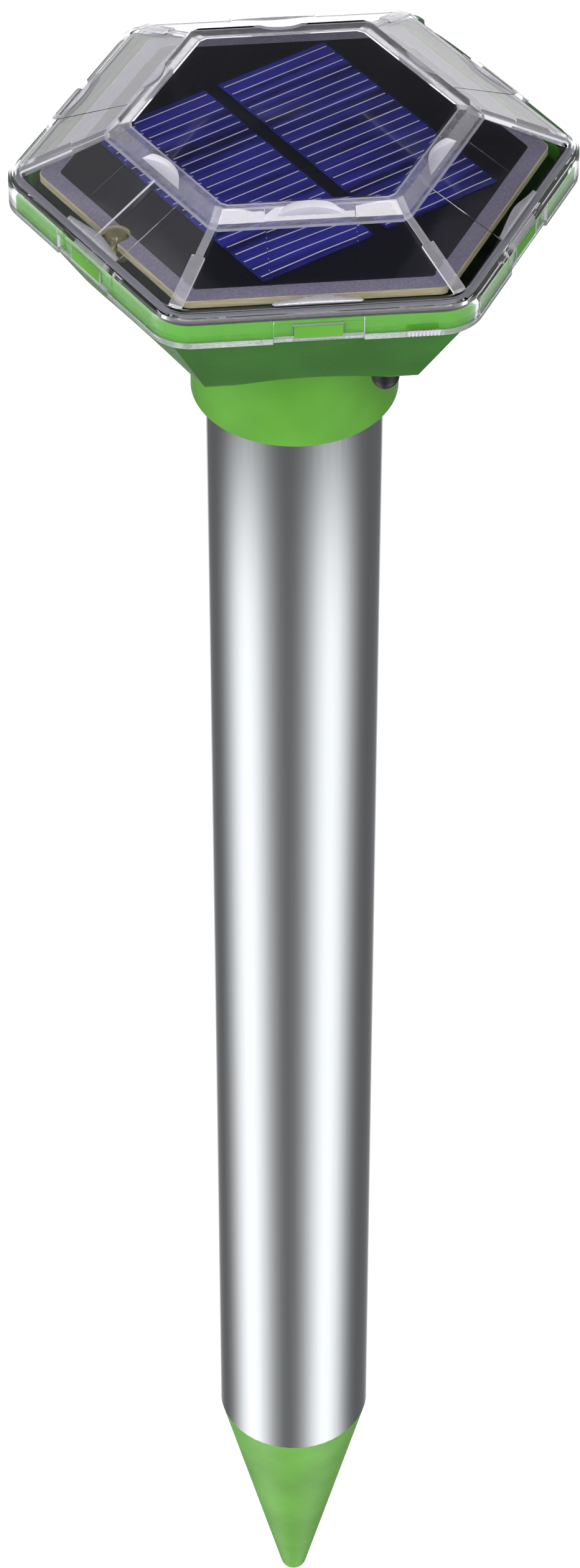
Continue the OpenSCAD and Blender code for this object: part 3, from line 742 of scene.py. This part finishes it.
def make_cover(clear, frosted, milky):
    cover = shell(outer_rings(), inner_rings())
    cutter = cover_cutter()
    for piece in (cover, cutter):
        for finish in (clear, frosted, milky):
            piece.data.materials.append(finish.material)
    for polygon in cutter.data.polygons:
        polygon.material_index = FROSTED
    cut = cover.modifiers.new("cut", "BOOLEAN")
    cut.object = cutter
    cut.operation = "DIFFERENCE"
    cut.solver = "EXACT"
    settle(cover)
    bpy.data.objects.remove(cutter)
    finish_piece(cover, 9)
    for piece, finish, angle in (
        (cover_blisters(), milky, 50), (lamp_ridge(), frosted, 20), (grip_bar(), frosted, 20)
    ):
        piece.data.materials.append(finish.material)
        finish_piece(piece, angle)


# ---------------------------------------------------------------- edges


def soften(node, width):
    """Rounds a CAD node's sharp edges with a modifier, which leaves its mesh alone."""
    made = nodes[node].modifiers.new("round edges", "BEVEL")
    made.width = width
    made.segments = 3
    made.limit_method = "ANGLE"
    made.angle_limit = math.radians(35)
    made.harden_normals = True


# ---------------------------------------------------------------- floor and light

FLOOR_SIZE = 16.0
HEAD_Z = 0.37
LIGHTS_Z = 0.36
CAMERA_SIDE = math.atan2(CAMERA_PLACE.y, CAMERA_PLACE.x)

# Brightness of the room below, level with and above the object, and how far up (as the sine of the angle
# above level) it changes
ROOM_LOW, ROOM_BELT, ROOM_TOP = 0.15, 0.98, 0.02
BELT_BOTTOM = (-0.6, -0.42)
BELT_TOP = (0.3, 0.55)

# Darker stripes in the room just below level, a third of a turn apart
BELT_DIP = 0.25
DIP_TOP = (-0.08, -0.2)

# Upright bands low in the room: turn from the camera's side in degrees, narrowness and strength
TUBE_BANDS = ((50, 6, 1.45), (-67, 6, 1.5), (180, 10, 0.4))
BAND_TOP, BAND_BOTTOM = (-0.615, -0.66), (-0.985, -0.94)

# Soft round glows: turn from the camera's side, angle above level and half width in degrees, and strength
ROOM_GLOWS = ((180, -34, 24, 1.1), (180, -8, 34, 0.4), (0, 42, 42, 1.5), (-117, 48, 17, 0.4))


def make_floor():
    mesh = bpy.data.meshes.new("floor")
    half = FLOOR_SIZE / 2
    corners = [(-half, -half, 0), (half, -half, 0), (half, half, 0), (-half, half, 0)]
    mesh.from_pydata(corners, [], [(0, 1, 2, 3)])
    floor = bpy.data.objects.new("floor", mesh)
    bpy.context.scene.collection.objects.link(floor)
    paint = Material("floor", (0.4, 0.4, 0.4), 0.9, Emission_Color=(1, 1, 1, 1), Emission_Strength=0.97)
    mesh.materials.append(paint.material)
    floor.visible_diffuse = False
    floor.visible_glossy = False


def aim_of(turn, rise):
    """Direction at a turn from the camera's side and an angle above level, both in degrees."""
    a, e = CAMERA_SIDE + math.radians(turn), math.radians(rise)
    return Vector((math.cos(e) * math.cos(a), math.cos(e) * math.sin(a), math.sin(e)))


def make_room():
    """Studio surroundings: a dim room with bright bands low down, which show upright in the metal tube."""
    world = bpy.data.worlds.new("studio")
    bpy.context.scene.world = world
    world.use_nodes = True
    tree = world.node_tree
    split = tree.nodes.new("ShaderNodeSeparateXYZ")
    tree.links.new(tree.nodes.new("ShaderNodeTexCoord").outputs["Generated"], split.inputs[0])
    x, y, z = split.outputs

    def times(first, second):
        return maths(tree, "MULTIPLY", first, second)

    def plus(first, second):
        return maths(tree, "ADD", first, second)

    def minus(first, second):
        return maths(tree, "SUBTRACT", first, second)

    def span(source, low, high, to_low, to_high):
        node = tree.nodes.new("ShaderNodeMapRange")
        node.interpolation_type = "SMOOTHSTEP"
        tree.links.new(source, node.inputs["Value"])
        for key, value in (("From Min", low), ("From Max", high), ("To Min", to_low), ("To Max", to_high)):
            node.inputs[key].default_value = value
        return node.outputs["Result"]

    level = maths(tree, "SQRT", maths(tree, "MAXIMUM", minus(1.0, times(z, z)), 0.0001))

    def glow(turn, rise, width, strength):
        across, deep, up = aim_of(turn, rise)
        near = plus(plus(times(x, across), times(y, deep)), times(z, up))
        return span(near, math.cos(math.radians(width)), math.cos(math.radians(width * 0.4)), 0.0, strength)

    def towards(turn):
        """How squarely a direction lies above or below a bearing: 1 on it, 0 beside it."""
        across, deep, _ = aim_of(turn, 0)
        return maths(tree, "DIVIDE", plus(times(x, across), times(y, deep)), level)

    above_floor = span(z, *BELT_BOTTOM, 0.0, 1.0)
    belt = span(z, *BELT_BOTTOM, ROOM_LOW, ROOM_BELT)
    total = minus(belt, span(z, *BELT_TOP, 0.0, ROOM_BELT - ROOM_TOP))

    back = towards(180)
    stripes = times(back, minus(times(times(back, back), 4.0), 3.0))
    dip = times(minus(1.0, stripes), BELT_DIP)
    total = minus(total, times(dip, times(span(z, *DIP_TOP, 0.0, 1.0), above_floor)))

    tall = times(span(z, *BAND_TOP, 0.0, 1.0), span(z, *BAND_BOTTOM, 0.0, 1.0))
    for turn, narrowness, strength in TUBE_BANDS:
        band = maths(tree, "POWER", maths(tree, "MAXIMUM", towards(turn), 0.0), narrowness)
        total = plus(total, times(times(band, strength), tall))
    for one in ROOM_GLOWS:
        total = plus(total, glow(*one))
    background = tree.nodes["Background"]
    background.inputs["Color"].default_value = (0.985, 0.98, 1, 1)
    tree.links.new(total, background.inputs["Strength"])


def add_softbox(name, turn, rise, size, power, colour):
    """Square soft light 1.6 m from the head, which it faces."""
    data = bpy.data.lights.new(name, "AREA")
    data.shape = "SQUARE"
    data.size = size
    data.energy = power
    data.color = colour
    lamp = bpy.data.objects.new(name, data)
    bpy.context.scene.collection.objects.link(lamp)
    lamp.location = aim_of(turn, rise) * 1.6 + Vector((0, 0, LIGHTS_Z))
    lamp.rotation_mode = "QUATERNION"
    lamp.rotation_quaternion = (Vector((0, 0, HEAD_Z)) - lamp.location).to_track_quat("-Z", "Y")


def make_light():
    make_room()
    add_softbox("key", -35, 30, 0.6, 12, (1, 1, 1))
    add_softbox("front", 11, 41, 0.42, 6.5, (1, 0.965, 0.93))


make_camera()
tube_finish()
base_finish()
spike_finish()
make_cover(cover_finish(), frosted_finish(), milky_finish())
gasket_finish()
rubber("button_rubber", (0.008, 0.008, 0.01), (500, 0.24, 0.4), 0.02).on("button_cap")
silicon_finish()
print_finish()
mask_finish()
border_finish()
laminate_finish()
lamp_finish()
inner_finishes()
soften("head_base", 0.35 * MM)
soften("spike", 0.3 * MM)
make_floor()
make_light()

scene = bpy.context.scene
scene.view_settings.view_transform = "Standard"
scene.cycles.use_denoising = True
